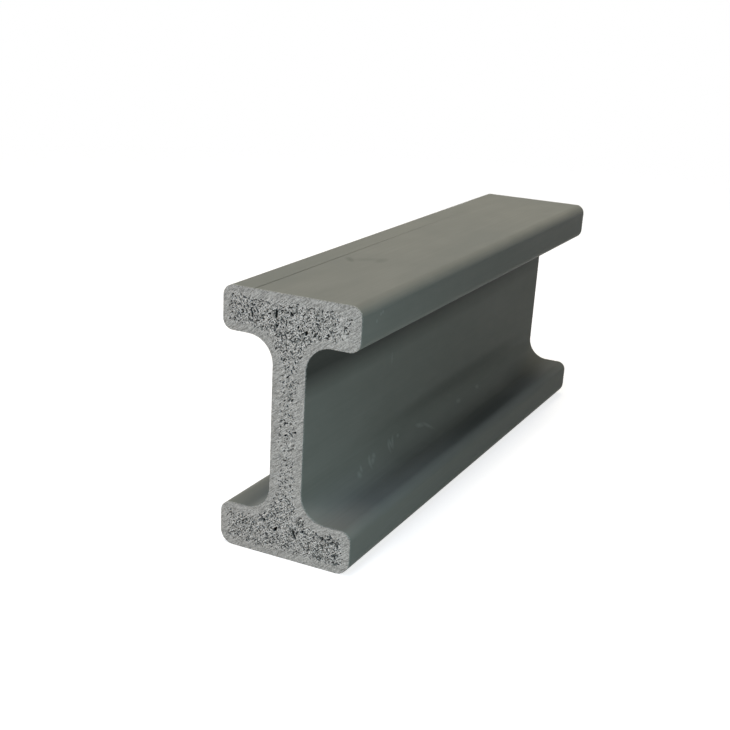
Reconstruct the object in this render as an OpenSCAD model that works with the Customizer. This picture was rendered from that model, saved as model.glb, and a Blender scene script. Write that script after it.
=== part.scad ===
// Plastic formwork beam: one extruded length of foamed plastic with an I-shaped section,
// sawn square at both ends. It stands on its bottom flange. X is its width, Y its length
// and Z its depth, and the origin is at the middle of the face that it stands on.

/* [Beam] */
// Depth of the section, from the face that it stands on to its top face
depth = 100; // [60:0.5:250]
// Width of both flanges
width = 54.5; // [42:0.5:150]
// Length between the two sawn ends
length = 250; // [50:1:4000]

/* [Web and flanges] */
// Thickness of the web
web_t = 13.2; // [5:0.1:26]
// Thickness of the top flange
top_flange_t = 16.3; // [9:0.1:30]
// Thickness of the bottom flange
bottom_flange_t = 17.2; // [10:0.1:30]

/* [Rounding] */
// Radius of the hollow root between the web and each flange
root_r = 10; // [1:0.5:16]
// Radius of the edges of the top flange, and of the upper edges of the bottom one
edge_r = 4; // [0.5:0.5:8]
// Radius of the two lower edges, beside the face that it stands on
foot_r = 5.5; // [0.5:0.5:13]

/* [Hidden] */

// Height at which the bottom flange ends and the web is clear of it
web_foot = bottom_flange_t;
// Height at which the top flange begins
web_head = depth - top_flange_t;

// What lies between a square corner at the origin and a quarter circle of radius r that
// touches both of its sides: added, it fills a hollow root, and cut away, it rounds an edge.
module corner_piece(r) {
    difference() {
        square(r);
        translate([r, r]) circle(r);
    }
}

// The same thing on both sides of the beam's middle plane.
module both_sides() {
    children();
    mirror([1, 0]) children();
}

// A flange with square edges, thickness t, from height z upwards.
module flange(z, t) {
    translate([-width / 2, z]) square([width, t]);
}

// The web with the four roots that blend it into the flanges.
module web() {
    translate([-web_t / 2, web_foot]) square([web_t, web_head - web_foot]);
    both_sides() {
        translate([web_t / 2, web_foot]) corner_piece(root_r);
        translate([web_t / 2, web_head]) mirror([0, 1]) corner_piece(root_r);
    }
}

// The upper and lower edge of a flange on one side, cut away to their radii.
module flange_edges(z, t, low_r, high_r) {
    translate([width / 2, z]) mirror([1, 0]) corner_piece(low_r);
    translate([width / 2, z + t]) mirror([1, 0]) mirror([0, 1]) corner_piece(high_r);
}

// The whole section, X across and Y up.
module section() {
    difference() {
        union() {
            flange(0, bottom_flange_t);
            web();
            flange(web_head, top_flange_t);
        }
        both_sides() {
            flange_edges(0, bottom_flange_t, foot_r, edge_r);
            flange_edges(web_head, top_flange_t, edge_r, edge_r);
        }
    }
}

// The sawn length, lying along Y.
module beam() {
    color([0.52, 0.53, 0.5])
        translate([0, length / 2, 0])
            rotate([90, 0, 0])
                linear_extrude(length) section();
}

beam();
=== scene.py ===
import math
import bpy
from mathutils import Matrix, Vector


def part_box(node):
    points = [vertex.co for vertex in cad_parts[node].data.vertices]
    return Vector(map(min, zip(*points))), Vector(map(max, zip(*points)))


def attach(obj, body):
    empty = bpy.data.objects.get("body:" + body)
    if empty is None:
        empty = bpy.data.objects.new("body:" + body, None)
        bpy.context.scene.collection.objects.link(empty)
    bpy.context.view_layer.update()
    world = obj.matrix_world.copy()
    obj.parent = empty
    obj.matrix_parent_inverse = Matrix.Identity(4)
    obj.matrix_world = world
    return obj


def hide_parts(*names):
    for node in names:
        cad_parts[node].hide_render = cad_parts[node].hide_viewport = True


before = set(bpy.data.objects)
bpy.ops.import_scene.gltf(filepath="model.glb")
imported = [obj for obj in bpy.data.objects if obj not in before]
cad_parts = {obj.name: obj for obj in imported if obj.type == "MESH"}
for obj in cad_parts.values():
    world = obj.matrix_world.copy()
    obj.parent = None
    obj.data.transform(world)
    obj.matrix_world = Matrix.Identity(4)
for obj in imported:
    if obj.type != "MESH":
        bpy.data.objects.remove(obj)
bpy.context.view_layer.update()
low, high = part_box("beam")
MM = 0.001
PVC_IOR = 1.5
PVC_SHEEN = 0.05


# Camera: it stands off the right front corner of the beam, a little above it, and is held
# slightly askew. The small shifts set the beam off the middle of the view.
tilt_up, roll, heading = 68.295, -2.748, 27.523
to_the_side, in_front, above_floor = 194.2 * MM, 345 * MM, 200.6 * MM
camera_data = bpy.data.cameras.new("camera")
camera_data.sensor_width = 36
camera_data.lens = 58.71
camera_data.shift_x = 0.03
camera_data.shift_y = 0.12
camera = bpy.data.objects.new("camera", camera_data)
camera.location = (to_the_side, low.y - in_front, above_floor)
camera.rotation_euler = [math.radians(angle) for angle in (tilt_up, roll, heading)]
bpy.context.scene.collection.objects.link(camera)
bpy.context.scene.camera = camera


# The beam: one length of rigid PVC foam, drawn through a cooled die that gives it an I-shaped
# section, hollow roots, rounded edges and a dense skin. It is sawn off square at both ends,
# which opens the foam: each end shows its cells and chips along its edge, and the front end
# some blow holes.
depth = high.z - low.z
width = high.x - low.x
length = high.y - low.y
web = 13.2 * MM
top_flange = 16.3 * MM
bottom_flange = 17.2 * MM
root_radius = 10 * MM
edge_radius = 4 * MM
foot_radius = 5.5 * MM


def node(tree, kind, inputs=(), **settings):
    """Adds a node with its settings. An input is given a value, a socket that feeds it, a node
    whose first output feeds it, or a list of such nodes and sockets."""
    made = tree.nodes.new(kind)
    for name, value in settings.items():
        setattr(made, name, value)
    for name, value in dict(inputs).items():
        feeds = value if isinstance(value, list) else [value]
        for feed in feeds:
            if isinstance(feed, bpy.types.Node):
                feed = next(output for output in feed.outputs if output.enabled)
            if isinstance(feed, bpy.types.NodeSocket):
                tree.links.new(feed, made.inputs[name])
            else:
                made.inputs[name].default_value = feed
    return made


def linear(hex_colour):
    """A colour written as sRGB hex, in the linear values that shaders take."""
    parts = [int(hex_colour[at:at + 2], 16) / 255 for at in (1, 3, 5)]
    light = [part / 12.92 if part <= 0.04045 else ((part + 0.055) / 1.055) ** 2.4
             for part in parts]
    return (*light, 1.0)


# Its outline: a closed line through the square corners of the section, each of which keeps
# the radius that rounds it.
right_corners = [
    (width / 2, 0, foot_radius),
    (width / 2, bottom_flange, edge_radius),
    (web / 2, bottom_flange, root_radius),
    (web / 2, depth - top_flange, root_radius),
    (width / 2, depth - top_flange, edge_radius),
    (width / 2, depth, edge_radius),
]
corners = right_corners + [(-x, z, radius) for x, z, radius in reversed(right_corners)]
outline = bpy.data.curves.new("section outline", "CURVE")
line = outline.splines.new("POLY")
line.points.add(len(corners) - 1)
line.use_cyclic_u = True
for point, (x, z, radius) in zip(line.points, corners):
    point.co = (x, z, 0, 1)
    point.radius = radius
blank = bpy.data.objects.new("section outline", outline)
bpy.context.scene.collection.objects.link(blank)

# The sizes of what the saw shows. A cell is long along the beam, because the foam is drawn
# out while it is soft, so each looks into a dark hole.
sizes = {
    "outline step": 0.6 * MM,
    "cell spacing": 0.8 * MM,
    "smallest cell": 0.13 * MM,
    "largest cell": 0.42 * MM,
    "cell stretch": 4.0,
    "dense skin": 2.4 * MM,
    "full foam": 4.0 * MM,
    "cells kept in the web": 0.42,
    "chip spacing": 1.4 * MM,
    "chip size": 0.2 * MM,
    "score width": 0.5 * MM,
    "score length": 225 * MM,
}
sawing = bpy.data.node_groups.new("draw and saw", "GeometryNodeTree")
sawing.is_modifier = True
sawing.interface.new_socket("Geometry", in_out="INPUT", socket_type="NodeSocketGeometry")
sawing.interface.new_socket("Geometry", in_out="OUTPUT", socket_type="NodeSocketGeometry")
size_sockets = {
    name: sawing.interface.new_socket(name, in_out="INPUT", socket_type="NodeSocketFloat")
    for name in sizes
}
given = node(sawing, "NodeGroupInput").outputs

# Drawn out: the outline is rounded, filled, and carried along past both ends.
spare = 10 * MM
arc_steps = 12
touching = 0.001 * MM
rounded = node(sawing, "GeometryNodeFilletCurve", {
    "Curve": given["Geometry"],
    "Radius": node(sawing, "GeometryNodeInputRadius"),
    "Count": arc_steps,
}, mode="POLY")
edge = node(sawing, "GeometryNodeResampleCurve", {
    "Curve": rounded,
    "Length": given["outline step"],
}, mode="LENGTH")
front = node(sawing, "GeometryNodeTransform", {
    "Geometry": node(sawing, "GeometryNodeFillCurve", {"Curve": edge}, mode="NGONS"),
    "Translation": (0, -length / 2 - spare, 0),
    "Rotation": (math.pi / 2, 0, 0),
})
carried = node(sawing, "GeometryNodeExtrudeMesh", {
    "Mesh": node(sawing, "GeometryNodeFlipFaces", {"Mesh": front}),
    "Offset": (0, 1, 0),
    "Offset Scale": length + 2 * spare,
    "Individual": False,
})
drawn = node(sawing, "GeometryNodeMergeByDistance", {
    "Geometry": node(sawing, "GeometryNodeJoinGeometry", {"Geometry": [front, carried]}),
    "Distance": touching,
})

# Sawn square: only what lies between the two saw cuts is kept. The block of what is kept has
# a net of squares on each end, slanting as the blade went, with its knots moved about by lot.
# The attribute "cut" tells skin, 0, from the flat of an end, 1, and the inside of a cell, 2.
blade_slant = math.radians(38)
block_margin = 1.1
block_side = block_margin * math.hypot(width, depth)
knot_shift = 0.33
squares = node(sawing, "ShaderNodeMath", {
    0: block_side,
    1: given["cell spacing"],
}, operation="DIVIDE")
knots = node(sawing, "ShaderNodeVectorMath", {
    0: node(sawing, "FunctionNodeRandomValue", {
        "Min": (-knot_shift, 0, -knot_shift),
        "Max": (knot_shift, 0, knot_shift),
        "Seed": 3,
    }, data_type="FLOAT_VECTOR"),
    "Scale": given["cell spacing"],
}, operation="SCALE")
block = node(sawing, "GeometryNodeTransform", {
    "Geometry": node(sawing, "GeometryNodeSetPosition", {
        "Geometry": node(sawing, "GeometryNodeMeshCube", {
            "Size": (block_side, length, block_side),
            "Vertices X": squares,
            "Vertices Z": squares,
        }),
        "Offset": knots,
    }),
    "Translation": (0, 0, depth / 2),
    "Rotation": (0, -blade_slant, 0),
})
squared = node(sawing, "GeometryNodeMeshBoolean", {
    "Mesh 2": [
        drawn,
        node(sawing, "GeometryNodeStoreNamedAttribute", {
            "Geometry": block,
            "Name": "cut",
            "Value": 1.0,
        }, data_type="FLOAT", domain="FACE"),
    ],
}, operation="INTERSECT", solver="MANIFOLD")
cut_by = node(sawing, "GeometryNodeInputNamedAttribute", {"Name": "cut"}, data_type="FLOAT")
is_cut = node(sawing, "ShaderNodeMath", {0: cut_by, 1: 0.5}, operation="GREATER_THAN")

# Cells: one at each knot of both ends, if the lot falls so. None are left in the dense skin,
# and few in the web, where the foam is finer. The web's foam gives way to a flange's between
# 23 and 27 mm from the middle of the section.
web_foam_reach = 23 * MM
flange_foam_start = 27 * MM
ends = node(sawing, "GeometryNodeSeparateGeometry", {
    "Geometry": squared,
    "Selection": is_cut,
}, domain="FACE")
spread = node(sawing, "GeometryNodeMeshToPoints", {"Mesh": ends}, mode="VERTICES")
place = node(sawing, "ShaderNodeSeparateXYZ", {
    0: node(sawing, "GeometryNodeInputPosition"),
}).outputs
from_skin = node(sawing, "GeometryNodeProximity", {
    "Target": node(sawing, "GeometryNodeCurveToMesh", {"Curve": edge}),
    "Sample Position": node(sawing, "ShaderNodeCombineXYZ", {"X": place["X"], "Y": place["Z"]}),
}, target_element="EDGES").outputs["Distance"]
past_skin = node(sawing, "ShaderNodeMapRange", {
    "Value": from_skin,
    "From Min": given["dense skin"],
    "From Max": given["full foam"],
})
from_middle = node(sawing, "ShaderNodeMath", {
    0: node(sawing, "ShaderNodeMath", {0: place["Z"], 1: depth / 2}, operation="SUBTRACT"),
}, operation="ABSOLUTE")
in_flange = node(sawing, "ShaderNodeMapRange", {
    "Value": from_middle,
    "From Min": web_foam_reach,
    "From Max": flange_foam_start,
    "To Min": given["cells kept in the web"],
})
# They get few towards the right side of the top flange too, where the foam set early.
early_from = 15 * MM
early_to = 23.5 * MM
early_loss = 0.75
to_the_right = node(sawing, "ShaderNodeMapRange", {
    "Value": place["X"],
    "From Min": early_from,
    "From Max": early_to,
    "To Max": early_loss,
})
on_top = node(sawing, "ShaderNodeMapRange", {
    "Value": place["Z"],
    "From Min": depth / 2,
    "From Max": depth - top_flange,
})
set_early = node(sawing, "ShaderNodeMath", {0: to_the_right, 1: on_top}, operation="MULTIPLY")
still_open = node(sawing, "ShaderNodeMath", {0: 1.0, 1: set_early}, operation="SUBTRACT")
openness = node(sawing, "ShaderNodeMath", {
    0: node(sawing, "ShaderNodeMath", {0: past_skin, 1: in_flange}, operation="MULTIPLY"),
    1: still_open,
}, operation="MULTIPLY")
left_out = node(sawing, "ShaderNodeMath", {
    0: node(sawing, "FunctionNodeRandomValue", {"Seed": 7}),
    1: openness,
}, operation="GREATER_THAN")
cells = node(sawing, "GeometryNodeDeleteGeometry", {
    "Geometry": spread,
    "Selection": left_out,
}, domain="POINT")


dent_scale = 1.1
dent_depth = 0.9
seed_step = 7.3


def bubble(seed, ball):
    """A ball, one unit in radius, dented by lot."""
    moved = node(sawing, "ShaderNodeVectorMath", {
        0: node(sawing, "GeometryNodeInputPosition"),
        1: (seed_step * seed, 0, 0),
    }, operation="ADD")
    dents = node(sawing, "ShaderNodeTexNoise", {"Vector": moved, "Scale": dent_scale})
    push = node(sawing, "ShaderNodeVectorMath", {
        0: dents.outputs["Color"],
        1: (dent_depth, dent_depth, dent_depth),
        2: (-dent_depth / 2, -dent_depth / 2, -dent_depth / 2),
    }, operation="MULTIPLY_ADD")
    return node(sawing, "GeometryNodeSetPosition", {"Geometry": ball, "Offset": push})


bubble_shapes = 6
small_ball = node(sawing, "GeometryNodeTransform", {
    "Geometry": node(sawing, "GeometryNodeMeshUVSphere", {
        "Segments": 6,
        "Rings": 2,
        "Radius": 1.0,
    }),
    "Rotation": (math.pi / 2, 0, 0),
})
small_bubbles = node(sawing, "GeometryNodeJoinGeometry", {"Geometry": [
    node(sawing, "GeometryNodeGeometryToInstance", {0: bubble(seed, small_ball)})
    for seed in range(bubble_shapes)
]})
any_shape = node(sawing, "FunctionNodeRandomValue", {
    4: 0,
    5: bubble_shapes - 1,
    "Seed": 14,
}, data_type="INT")
turned = node(sawing, "ShaderNodeCombineXYZ", {
    "Y": node(sawing, "FunctionNodeRandomValue", {"Min": 0.0, "Max": math.pi, "Seed": 13}),
})
mostly_small = node(sawing, "ShaderNodeMath", {
    0: node(sawing, "FunctionNodeRandomValue", {"Seed": 11}),
    1: 2.0,
}, operation="POWER")
usual_radius = node(sawing, "ShaderNodeMapRange", {
    "Value": mostly_small,
    "To Min": given["smallest cell"],
    "To Max": given["largest cell"],
})
# At the right of the bottom flange the foam set late, and its cells grew larger.
late_from = 10 * MM
late_to = 17 * MM
late_growth = 1.35
low_right = node(sawing, "ShaderNodeMath", {
    0: node(sawing, "ShaderNodeMapRange", {
        "Value": place["X"],
        "From Min": late_from,
        "From Max": late_to,
    }),
    1: node(sawing, "ShaderNodeMapRange", {
        "Value": place["Z"],
        "From Min": depth / 3,
        "From Max": bottom_flange,
    }),
}, operation="MULTIPLY")
grown = node(sawing, "ShaderNodeMapRange", {
    "Value": low_right,
    "To Min": 1.0,
    "To Max": late_growth,
})
cell_radius = node(sawing, "ShaderNodeMath", {
    0: usual_radius,
    1: grown,
}, operation="MULTIPLY")
flattened = node(sawing, "FunctionNodeRandomValue", {"Min": 1.1, "Max": 2.4, "Seed": 12})
stretch = node(sawing, "FunctionNodeRandomValue", {
    "Min": 1.0,
    "Max": given["cell stretch"],
    "Seed": 15,
})
cell_size = node(sawing, "ShaderNodeCombineXYZ", {
    "X": node(sawing, "ShaderNodeMath", {0: cell_radius, 1: flattened}, operation="MULTIPLY"),
    "Y": node(sawing, "ShaderNodeMath", {0: cell_radius, 1: stretch}, operation="MULTIPLY"),
    "Z": cell_radius,
})
cut_cells = node(sawing, "GeometryNodeInstanceOnPoints", {
    "Points": cells,
    "Instance": small_bubbles,
    "Pick Instance": True,
    "Instance Index": any_shape,
    "Rotation": turned,
    "Scale": cell_size,
})

# Blow holes: the few large bubbles of the front end. Each has its place across and up, its
# length and width in millimetres, and its lean to the right from upright in degrees.
blow_holes = [
    (-15.4, 91.5, 3.2, 0.8, -18),
    (-5.6, 92.6, 3.6, 1.1, 4),
    (-5.4, 88.2, 1.6, 0.9, 0),
    (0.4, 93.4, 1.6, 1.1, -35),
    (6.4, 87.6, 1.9, 1.2, 14),
    (3.2, 89.2, 1.2, 0.8, 20),
    (-8.4, 13.8, 1.4, 1.1, 20),
    (-3.6, 11.2, 2.4, 1.3, 38),
    (4.4, 10.6, 3.8, 1.1, -30),
    (7.8, 13.0, 1.3, 1.0, -20),
    (-0.5, 48.8, 1.7, 0.7, 58),
    (3.4, 50.6, 1.1, 0.9, 40),
]
hole_depth = 8 * MM
first_hole_seed = 20
large_ball = node(sawing, "GeometryNodeMeshIcoSphere", {"Radius": 1.0, "Subdivisions": 2})
cut_holes = [
    node(sawing, "GeometryNodeTransform", {
        "Geometry": bubble(first_hole_seed + number, large_ball),
        "Translation": (across * MM, -length / 2, up * MM),
        "Rotation": (0, math.radians(lean), 0),
        "Scale": (wide / 2 * MM, hole_depth, long / 2 * MM),
    })
    for number, (across, up, long, wide, lean) in enumerate(blow_holes)
]

# Chips: crumbs that the saw tears out of the sharp edge round each end.
chip_line = node(sawing, "GeometryNodeResampleCurve", {
    "Curve": edge,
    "Length": given["chip spacing"],
}, mode="LENGTH")
chip_points = [
    node(sawing, "GeometryNodeTransform", {
        "Geometry": chip_line,
        "Translation": (0, side * length / 2, 0),
        "Rotation": (math.pi / 2, 0, 0),
    })
    for side in (-1, 1)
]
chip_size = node(sawing, "ShaderNodeVectorMath", {
    0: node(sawing, "FunctionNodeRandomValue", {
        "Min": (0.2, 0.2, 0.2),
        "Max": (1.6, 1.6, 1.6),
        "Seed": 31,
    }, data_type="FLOAT_VECTOR"),
    "Scale": given["chip size"],
}, operation="SCALE")
cut_chips = node(sawing, "GeometryNodeInstanceOnPoints", {
    "Points": node(sawing, "GeometryNodeJoinGeometry", {"Geometry": chip_points}),
    "Instance": small_bubbles,
    "Pick Instance": True,
    "Instance Index": any_shape,
    "Rotation": turned,
    "Scale": chip_size,
})
opened = node(sawing, "GeometryNodeStoreNamedAttribute", {
    "Geometry": node(sawing, "GeometryNodeRealizeInstances", {
        "Geometry": node(sawing, "GeometryNodeJoinGeometry", {
            "Geometry": [cut_cells, cut_chips, *cut_holes],
        }),
    }),
    "Name": "cut",
    "Value": 2.0,
}, data_type="FLOAT", domain="FACE")

# Score: a fine groove that a speck in the die left in the top face. It runs in from the
# front end and gets shallower until it is gone.
score_across = -14.6 * MM
score_past_end = 1 * MM
score = node(sawing, "GeometryNodeMeshCone", {
    "Vertices": 6,
    "Radius Top": 0.0,
    "Radius Bottom": node(sawing, "ShaderNodeMath", {
        0: given["score width"],
        1: 0.5,
    }, operation="MULTIPLY"),
    "Depth": given["score length"],
})
groove = node(sawing, "GeometryNodeTransform", {
    "Geometry": score,
    "Translation": (score_across, -length / 2 - score_past_end, depth),
    "Rotation": (-math.pi / 2, 0, 0),
})

# Sawn: all of that is taken out of the drawn length.
cut = node(sawing, "GeometryNodeMeshBoolean", {
    "Mesh 1": squared,
    "Mesh 2": [opened, groove],
    "Self Intersection": True,
}, operation="DIFFERENCE", solver="EXACT")

# Skin: foamed PVC that set against the cold die, so it is closed and dull. It is drawn in fine
# lines along the beam, clouded where the skin is thicker or thinner, and rubbed by handling.
skin = bpy.data.materials.new("drawn PVC foam skin")
skin.use_nodes = True
tree = skin.node_tree
shader = tree.nodes["Principled BSDF"]
on_beam = node(tree, "ShaderNodeTexCoord").outputs["Object"]
clouds = node(tree, "ShaderNodeTexNoise", {
    "Vector": node(tree, "ShaderNodeMapping", {
        "Vector": on_beam,
        "Scale": (22 * MM, 60 * MM, 22 * MM),
    }, vector_type="TEXTURE"),
    "Scale": 1.0,
    "Detail": 3.0,
})
# The die's own lines are finer than the eye makes out from a step away. These are 1.3 mm apart.
lines = node(tree, "ShaderNodeTexNoise", {
    "Vector": node(tree, "ShaderNodeMapping", {
        "Vector": on_beam,
        "Scale": (1.3 * MM, 90 * MM, 1.3 * MM),
    }, vector_type="TEXTURE"),
    "Scale": 1.0,
    "Detail": 2.0,
})
pimples = node(tree, "ShaderNodeTexNoise", {
    "Vector": node(tree, "ShaderNodeMapping", {
        "Vector": on_beam,
        "Scale": (1.0 * MM, 1.8 * MM, 1.0 * MM),
    }, vector_type="TEXTURE"),
    "Scale": 1.0,
    "Detail": 2.0,
})
cloud_colour = node(tree, "ShaderNodeMix", {
    "Factor": node(tree, "ShaderNodeMapRange", {
        "Value": clouds,
        "From Min": 0.35,
        "From Max": 0.65,
    }),
    "A": linear("#7f817a"),
    "B": linear("#8d8e87"),
}, data_type="RGBA")
line_colour = node(tree, "ShaderNodeMix", {
    "Factor": node(tree, "ShaderNodeMapRange", {
        "Value": lines,
        "From Min": 0.35,
        "From Max": 0.7,
        "To Max": 0.2,
    }),
    "A": cloud_colour,
    "B": linear("#7a7c76"),
}, data_type="RGBA")
relief = node(tree, "ShaderNodeBump", {
    "Height": lines,
    "Distance": 0.02 * MM,
    "Strength": 0.15,
    "Normal": node(tree, "ShaderNodeBump", {
        "Height": pimples,
        "Distance": 0.02 * MM,
        "Strength": 0.3,
    }),
})


def mark(place, turn, half_size, point=on_beam):
    """How far each point of the skin lies from a mark: 0 at its middle and 1 at its rim."""
    in_mark = node(tree, "ShaderNodeMapping", {
        "Vector": point,
        "Location": place,
        "Rotation": turn,
        "Scale": half_size,
    }, vector_type="TEXTURE")
    return node(tree, "ShaderNodeVectorMath", {0: in_mark}, operation="LENGTH")


# Scuffs on the right side, which leave pale dust. Each has its place across, in from the front
# end and up, its length and width in millimetres, and its climb away from the front in degrees.
scuffs = [
    (8, 43, 20.8, 2.4, 1.4, 10),
    (8, 46, 22.0, 2.0, 1.2, 60),
    (8, 54, 22.3, 3.4, 1.5, 65),
    (8, 56.5, 22.0, 3.0, 1.2, 20),
    (8, 58.6, 23.3, 2.0, 1.4, 0),
    (8, 72.5, 23.4, 3.6, 1.3, 70),
    (8, 74.2, 23.6, 3.2, 1.3, 110),
    (8, 76.4, 23.8, 3.6, 1.2, 60),
    (8, 82, 24.5, 1.8, 1.1, 0),
    (8, 103, 22.8, 5.0, 1.3, -12),
    (8, 109.5, 20.9, 5.0, 1.2, -30),
    (8, 146, 21.7, 3.5, 1.2, 0),
    (8, 170, 22, 3.0, 1.2, 0),
    (6.6, 72, 60.7, 3.5, 0.6, 90),
    (27.25, 14.5, 94.8, 0.9, 0.9, 0),
    (27.25, 11.6, 92.9, 0.9, 0.9, 0),
    (27.25, 16, 95.2, 0.9, 0.9, 0),
]
scuff_reach = 6 * MM
no_scuff_near = 10.0
to_scuff = no_scuff_near
for across, inward, up, long, wide, climb in scuffs:
    to_scuff = node(tree, "ShaderNodeMath", {
        0: to_scuff,
        1: mark(
            (across * MM, inward * MM - length / 2, up * MM),
            (math.radians(climb), 0, 0),
            (scuff_reach, long / 2 * MM, wide / 2 * MM),
        ),
    }, operation="MINIMUM")

# Painted shade: soft dark bands on the right side, where shade falls along the foot of the web,
# along the lower flange's top, and wider and fainter at that top's back end. Each has its middle
# across, in from the front end and up, half its width, length and height in millimetres, and
# its strength.
painted_shade_bands = [
    (6.6, 150, 32, 3, 110, 6, 0.5),
    (21.5, 155, 17, 7, 88, 5, 0.65),
    (17, 240, 18, 14, 60, 9, 0.6),
]
shade_banded = line_colour
for across, inward, up, wide, long, tall, strength in painted_shade_bands:
    # Each band mixes painted shade into the skin's colour.
    shade_banded = node(tree, "ShaderNodeMix", {
        "Factor": node(tree, "ShaderNodeMapRange", {
            "Value": mark(
                (across * MM, inward * MM - length / 2, up * MM),
                (0, 0, 0),
                (wide * MM, long * MM, tall * MM),
            ),
            "From Min": 0.1,
            "From Max": 1.0,
            "To Min": strength,
            "To Max": 0.0,
        }, interpolation_type="SMOOTHSTEP"),
        "A": shade_banded,
        "B": linear("#4d524d"),
    }, data_type="RGBA")

# Painted shade under the top flange, in the two roots and on the web beneath them, where the
# flange overhangs. It is thickest 60 mm in from the front end, and thins out towards the back
# end.
flange_shade_middle = (web / 2, 60 * MM - length / 2, 80 * MM)
flange_shade_reach = (20 * MM, 380 * MM, 18 * MM)
beside = node(tree, "ShaderNodeSeparateXYZ", {0: on_beam}).outputs
either_side = node(tree, "ShaderNodeCombineXYZ", {
    "X": node(tree, "ShaderNodeMath", {0: beside["X"]}, operation="ABSOLUTE"),
    "Y": beside["Y"],
    "Z": beside["Z"],
})
# The dark colour mixed in here is painted shade, the same on both sides.
flange_shaded = node(tree, "ShaderNodeMix", {
    "Factor": node(tree, "ShaderNodeMapRange", {
        "Value": mark(flange_shade_middle, (0, 0, 0), flange_shade_reach, either_side),
        "From Min": 0.45,
        "From Max": 1.0,
        "To Min": 0.9,
        "To Max": 0.0,
    }),
    "A": shade_banded,
    "B": linear("#2a2e2b"),
}, data_type="RGBA")

# Scuffs and rubs are broken up by grit.
grit = node(tree, "ShaderNodeTexNoise", {
    "Vector": node(tree, "ShaderNodeMapping", {
        "Vector": on_beam,
        "Scale": (0.5 * MM, 0.5 * MM, 0.5 * MM),
    }, vector_type="TEXTURE"),
    "Scale": 1.0,
    "Detail": 1.0,
})
dusted = node(tree, "ShaderNodeMix", {
    "Factor": node(tree, "ShaderNodeMapRange", {
        "Value": node(tree, "ShaderNodeMath", {0: to_scuff, 1: grit}, operation="ADD"),
        "From Min": 0.5,
        "From Max": 2.3,
        "To Min": 0.55,
        "To Max": 0.0,
    }),
    "A": flange_shaded,
    "B": linear("#b4b7b0"),
}, data_type="RGBA")

# Rubs on the top face, which left it darker: each with its place across and in from the front
# end, its length and width in millimetres, the way it runs in degrees and how dark it is.
rubs = [
    (-9.5, 62.3, 8.0, 3.2, 127, 0.65),
    (-4.8, 65.8, 13.0, 5.5, 43, 0.25),
    (-4.6, 67.0, 13.0, 1.0, 43, 0.4),
    (0.7, 68.5, 9.0, 4.5, 95, 0.4),
]
rub_reach = 2 * MM
rub_darkness = 0.0
for across, inward, long, wide, way, darkness in rubs:
    to_rub = mark(
        (across * MM, inward * MM - length / 2, depth),
        (0, 0, math.radians(way)),
        (long / 2 * MM, wide / 2 * MM, rub_reach),
    )
    rub_darkness = node(tree, "ShaderNodeMath", {
        0: rub_darkness,
        1: node(tree, "ShaderNodeMapRange", {
            "Value": node(tree, "ShaderNodeMath", {0: to_rub, 1: grit}, operation="ADD"),
            "From Min": 0.9,
            "From Max": 1.8,
            "To Min": darkness,
            "To Max": 0.0,
        }),
    }, operation="MAXIMUM")
rubbed = node(tree, "ShaderNodeMix", {
    "Factor": rub_darkness,
    "A": dusted,
    "B": linear("#6a6c66"),
}, data_type="RGBA")

# The saw lifts a pale whisker of skin round each end. It is about a millimetre wide, and grit
# makes its edge uneven.
unevenness = 2.4 * MM
whisker_core = 1.1 * MM
whisker_end = 2.0 * MM
from_end = node(tree, "ShaderNodeMath", {
    0: length / 2,
    1: node(tree, "ShaderNodeMath", {
        0: node(tree, "ShaderNodeSeparateXYZ", {0: on_beam}).outputs["Y"],
    }, operation="ABSOLUTE"),
}, operation="SUBTRACT")
whisker = node(tree, "ShaderNodeMix", {
    "Factor": node(tree, "ShaderNodeMapRange", {
        "Value": node(tree, "ShaderNodeMath", {
            0: grit,
            1: unevenness,
            2: from_end,
        }, operation="MULTIPLY_ADD"),
        "From Min": whisker_core,
        "From Max": whisker_end,
        "To Min": 0.8,
        "To Max": 0.0,
    }),
    "A": rubbed,
    "B": linear("#c0c2bd"),
}, data_type="RGBA")
dullness = node(tree, "ShaderNodeMapRange", {
    "Value": clouds,
    "From Min": 0.3,
    "From Max": 0.7,
    "To Min": 0.52,
    "To Max": 0.64,
})
tree.links.new(whisker.outputs["Result"], shader.inputs["Base Color"])
tree.links.new(relief.outputs["Normal"], shader.inputs["Normal"])
tree.links.new(dullness.outputs["Result"], shader.inputs["Roughness"])
shader.inputs["IOR"].default_value = PVC_IOR
shader.inputs["Specular IOR Level"].default_value = PVC_SHEEN

# Sawn foam: paler than the skin, because every torn cell wall scatters light. The blade leaves
# a nap of crumbs, combed in fine marks that slant the way it went.
sawn = bpy.data.materials.new("sawn PVC foam")
sawn.use_nodes = True
tree = sawn.node_tree
shader = tree.nodes["Principled BSDF"]
on_beam = node(tree, "ShaderNodeTexCoord").outputs["Object"]
crumbs = node(tree, "ShaderNodeTexNoise", {
    "Vector": node(tree, "ShaderNodeMapping", {
        "Vector": on_beam,
        "Scale": (0.42 * MM, 0.42 * MM, 0.42 * MM),
    }, vector_type="TEXTURE"),
    "Scale": 1.0,
    "Detail": 2.0,
})
blade_marks = node(tree, "ShaderNodeTexNoise", {
    "Vector": node(tree, "ShaderNodeMapping", {
        "Vector": on_beam,
        "Rotation": (0, -blade_slant, 0),
        "Scale": (2.2 * MM, 2.2 * MM, 0.34 * MM),
    }, vector_type="TEXTURE"),
    "Scale": 1.0,
    "Detail": 1.0,
})
nap = node(tree, "ShaderNodeMath", {0: crumbs, 1: blade_marks}, operation="ADD")
foam_openness = node(tree, "ShaderNodeAttribute", attribute_name="openness").outputs["Fac"]
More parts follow.
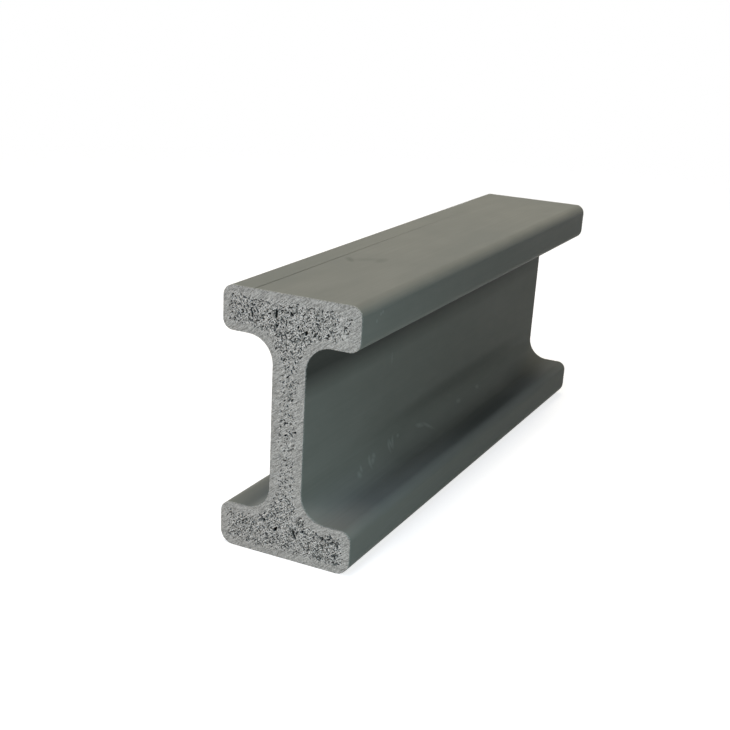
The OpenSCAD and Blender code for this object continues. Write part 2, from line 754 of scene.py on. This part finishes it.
foam_colour = node(tree, "ShaderNodeMix", {
    "Factor": node(tree, "ShaderNodeMapRange", {
        "Value": nap,
        "From Min": 0.78,
        "From Max": 1.22,
    }),
    "A": linear("#868783"),
    "B": node(tree, "ShaderNodeMix", {
        "Factor": foam_openness,
        "A": linear("#c2c3be"),
        "B": linear("#dcddd8"),
    }, data_type="RGBA"),
}, data_type="RGBA")
# Single teeth that stood out of the blade dug longer and darker marks.
tooth_marks = node(tree, "ShaderNodeTexNoise", {
    "Vector": node(tree, "ShaderNodeMapping", {
        "Vector": on_beam,
        "Rotation": (0, -blade_slant, 0),
        "Scale": (6.0 * MM, 6.0 * MM, 0.4 * MM),
    }, vector_type="TEXTURE"),
    "Scale": 1.0,
    "Detail": 0.0,
})
scratched = node(tree, "ShaderNodeMix", {
    "Factor": node(tree, "ShaderNodeMapRange", {
        "Value": tooth_marks,
        "From Min": 0.24,
        "From Max": 0.34,
        "To Min": 0.6,
        "To Max": 0.0,
    }),
    "A": foam_colour,
    "B": linear("#6c6e6a"),
}, data_type="RGBA")
# The finest cells, too small to be cut into the mesh, are painted as dark specks of shade.
specks = node(tree, "ShaderNodeTexVoronoi", {
    "Vector": node(tree, "ShaderNodeMapping", {
        "Vector": on_beam,
        "Rotation": (0, blade_slant, 0),
        "Scale": (0.75 * MM, 6 * MM, 0.45 * MM),
    }, vector_type="TEXTURE"),
    "Scale": 1.0,
})
speck_depth = node(tree, "ShaderNodeMath", {
    0: node(tree, "ShaderNodeMapRange", {
        "Value": specks.outputs["Distance"],
        "From Min": 0.2,
        "From Max": 0.5,
        "To Min": 0.8,
        "To Max": 0.0,
    }),
    1: foam_openness,
}, operation="MULTIPLY")
speck_strength = 0.6
# Painted shade of the finest cells.
shade_specked = node(tree, "ShaderNodeMix", {
    "Factor": node(tree, "ShaderNodeMath", {
        0: speck_depth,
        1: speck_strength,
    }, operation="MULTIPLY"),
    "A": scratched,
    "B": linear("#5d605e"),
}, data_type="RGBA")
furrows = node(tree, "ShaderNodeBump", {
    "Height": nap,
    "Distance": 0.1 * MM,
    "Strength": 0.7,
})
tree.links.new(shade_specked.outputs["Result"], shader.inputs["Base Color"])
tree.links.new(furrows.outputs["Normal"], shader.inputs["Normal"])
shader.inputs["Roughness"].default_value = 0.85
shader.inputs["IOR"].default_value = PVC_IOR
shader.inputs["Specular IOR Level"].default_value = PVC_SHEEN

# Cell walls: the thin film inside each bubble. Its colour is darker than the sawn face, and
# darker still the deeper it lies, down to 1.2 mm behind the saw cut: both are painted shade of
# the hole.
light_reach = 1.2 * MM
cell_wall = bpy.data.materials.new("PVC foam cell wall")
cell_wall.use_nodes = True
tree = cell_wall.node_tree
shader = tree.nodes["Principled BSDF"]
on_beam = node(tree, "ShaderNodeTexCoord").outputs["Object"]
film = node(tree, "ShaderNodeTexNoise", {
    "Vector": node(tree, "ShaderNodeMapping", {
        "Vector": on_beam,
        "Scale": (1.0 * MM, 1.0 * MM, 1.0 * MM),
    }, vector_type="TEXTURE"),
    "Scale": 1.0,
    "Detail": 1.0,
})
from_midlength = node(tree, "ShaderNodeMath", {
    0: node(tree, "ShaderNodeSeparateXYZ", {0: on_beam}).outputs["Y"],
}, operation="ABSOLUTE")
depth_shade = node(tree, "ShaderNodeMapRange", {
    "Value": from_midlength,
    "From Min": length / 2,
    "From Max": length / 2 - light_reach,
})
# Painted shade: the film turns near black the deeper it lies.
film_and_depth_shade = node(tree, "ShaderNodeMix", {
    "Factor": depth_shade,
    "A": node(tree, "ShaderNodeMix", {
        "Factor": film,
        "A": linear("#5a5d5b"),
        "B": linear("#8a8c88"),
    }, data_type="RGBA"),
    "B": linear("#1e201f"),
}, data_type="RGBA")
tree.links.new(film_and_depth_shade.outputs["Result"], shader.inputs["Base Color"])
shader.inputs["Roughness"].default_value = 0.7
shader.inputs["IOR"].default_value = PVC_IOR
shader.inputs["Specular IOR Level"].default_value = PVC_SHEEN

# The three finishes go on by what each face was cut by. Only the skin is smooth, and its edges
# stay crisp where it turns by more than 30 degrees.
crisp_from = math.radians(30)
is_hollow = node(sawing, "ShaderNodeMath", {0: cut_by, 1: 1.5}, operation="GREATER_THAN")
is_skin = node(sawing, "ShaderNodeMath", {0: cut_by, 1: 0.5}, operation="LESS_THAN")
measured = node(sawing, "GeometryNodeStoreNamedAttribute", {
    "Geometry": node(sawing, "GeometryNodeRealizeInstances", {"Geometry": cut}),
    "Name": "openness",
    "Value": openness,
}, data_type="FLOAT", domain="POINT")
smoothed = node(sawing, "GeometryNodeSetShadeSmooth", {
    "Geometry": measured,
    "Shade Smooth": is_skin,
})
is_crisp = node(sawing, "ShaderNodeMath", {
    0: node(sawing, "GeometryNodeInputMeshEdgeAngle"),
    1: crisp_from,
}, operation="GREATER_THAN")
creased = node(sawing, "GeometryNodeSetShadeSmooth", {
    "Geometry": smoothed,
    "Selection": is_crisp,
    "Shade Smooth": False,
}, domain="EDGE")
triangles = node(sawing, "GeometryNodeTriangulate", {"Mesh": creased})
skinned = node(sawing, "GeometryNodeSetMaterial", {"Geometry": triangles, "Material": skin})
ended = node(sawing, "GeometryNodeSetMaterial", {
    "Geometry": skinned,
    "Selection": is_cut,
    "Material": sawn,
})
walled = node(sawing, "GeometryNodeSetMaterial", {
    "Geometry": ended,
    "Selection": is_hollow,
    "Material": cell_wall,
})
node(sawing, "NodeGroupOutput", {0: walled})

saw = blank.modifiers.new("draw and saw", "NODES")
saw.node_group = sawing
for name, value in sizes.items():
    saw[size_sockets[name].identifier] = value
state = bpy.context.evaluated_depsgraph_get()
shape = bpy.data.meshes.new_from_object(
    blank.evaluated_get(state), preserve_all_data_layers=True, depsgraph=state)
beam = bpy.data.objects.new("sawn_beam", shape)
bpy.context.scene.collection.objects.link(beam)
bpy.data.objects.remove(blank)
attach(beam, "root")
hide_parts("beam")


def seen_by_eye(tree):
    """1 for what the eye sees, straight or in a shine, and 0 for what only gives light."""
    path = node(tree, "ShaderNodeLightPath").outputs
    return node(tree, "ShaderNodeMath", {
        0: path["Is Camera Ray"],
        1: node(tree, "ShaderNodeMath", {
            0: path["Is Glossy Ray"],
            1: path["Is Transmission Ray"],
        }, operation="MAXIMUM"),
    }, operation="MAXIMUM")


# Floor: a plain pale sheet that the beam stands on. It is left out of the part. Towards its rim
# it fades into the white of the studio, so that no line shows where it ends.
floor_radius = 1.4
fade_start = 0.3 * floor_radius
fade_end = 0.75 * floor_radius
floor_mesh = bpy.data.meshes.new("floor")
floor_mesh.from_pydata([
    (-floor_radius, -floor_radius, low.z),
    (floor_radius, -floor_radius, low.z),
    (floor_radius, floor_radius, low.z),
    (-floor_radius, floor_radius, low.z),
], [], [(0, 1, 2, 3)])
floor = bpy.data.objects.new("floor", floor_mesh)
bpy.context.scene.collection.objects.link(floor)
paper = bpy.data.materials.new("pale paper")
paper.use_nodes = True
tree = paper.node_tree
tree.nodes.remove(tree.nodes["Principled BSDF"])
to_the_eye = node(tree, "ShaderNodeAddShader", {
    0: node(tree, "ShaderNodeBsdfDiffuse", {"Color": linear("#c4c4c4")}),
    1: node(tree, "ShaderNodeEmission", {"Color": (1, 1, 1, 1), "Strength": 0.78}),
})
sheet = node(tree, "ShaderNodeMixShader", {
    0: seen_by_eye(tree),
    1: node(tree, "ShaderNodeBsdfDiffuse", {"Color": linear("#505050")}),
    2: to_the_eye,
})
from_centre = node(tree, "ShaderNodeVectorMath", {
    0: node(tree, "ShaderNodeTexCoord").outputs["Object"],
}, operation="LENGTH")
faded = node(tree, "ShaderNodeMixShader", {
    0: node(tree, "ShaderNodeMapRange", {
        "Value": from_centre.outputs["Value"],
        "From Min": fade_start,
        "From Max": fade_end,
    }, interpolation_type="SMOOTHSTEP"),
    1: sheet,
    2: node(tree, "ShaderNodeBsdfTransparent"),
})
tree.links.new(faded.outputs["Shader"], tree.nodes["Material Output"].inputs["Surface"])
floor_mesh.materials.append(paper)


# Studio light: seven soft lamps. A long warm one hangs above the beam, along it, and a tall cool
# one stands high in front of the sawn end, with a low wide one under it. Two small weak ones lift
# the near and the far end of the right side. Two flat ones near the floor light the left side
# and the back end without touching the top. The room is white to the eye and dim as a light.
def soft_lamp(name, place, aim, wide, tall, watts, hex_colour):
    """A soft lamp at a place, wide across by tall, turned to face the point it is aimed at."""
    lamp_data = bpy.data.lights.new(name, "AREA")
    lamp_data.shape = "RECTANGLE"
    lamp_data.size = wide
    lamp_data.size_y = tall
    lamp_data.energy = watts
    lamp_data.color = linear(hex_colour)[:3]
    lamp = bpy.data.objects.new(name, lamp_data)
    lamp.location = place
    lamp.rotation_euler = (Vector(aim) - Vector(place)).to_track_quat("-Z", "Y").to_euler()
    bpy.context.scene.collection.objects.link(lamp)


soft_lamp("overhead", (-0.1, 0.1, 1.3), (-0.1, 0.1, 0), 0.24, 1.6, 11.2, "#fff3dc")
soft_lamp("front", (0, -1.05, 0.95), (0, -0.12, 0.05), 0.5, 1.7, 8.2, "#cbe1ff")
soft_lamp("low front", (0, -1.3, 0.12), (0, -0.12, 0.05), 0.6, 0.2, 5.9, "#ffeadb")
soft_lamp("near corner", (0.2, -0.24, 0.05), (0.03, -0.1, 0.04), 0.16, 0.06, 0.19, "#dcf8ff")
soft_lamp("far corner", (0.13, 0.3, 0.09), (0.03, 0.12, 0.06), 0.1, 0.06, 0.04, "#ffffff")
soft_lamp("left", (-1.3, 0, 0.04), (0, 0, 0.05), 0.8, 0.06, 7.5, "#ffffff")
soft_lamp("behind", (-0.25, 1.3, 0.03), (0, 0.12, 0.05), 0.6, 0.04, 4.0, "#ffffff")

world = bpy.data.worlds.new("studio")
bpy.context.scene.world = world
world.use_nodes = True
tree = world.node_tree
room = node(tree, "ShaderNodeMix", {
    "Factor": seen_by_eye(tree),
    "A": linear("#181a1a"),
    "B": (1, 1, 1, 1),
}, data_type="RGBA")
tree.links.new(room.outputs["Result"], tree.nodes["Background"].inputs["Color"])
bpy.context.scene.view_settings.view_transform = "Standard"
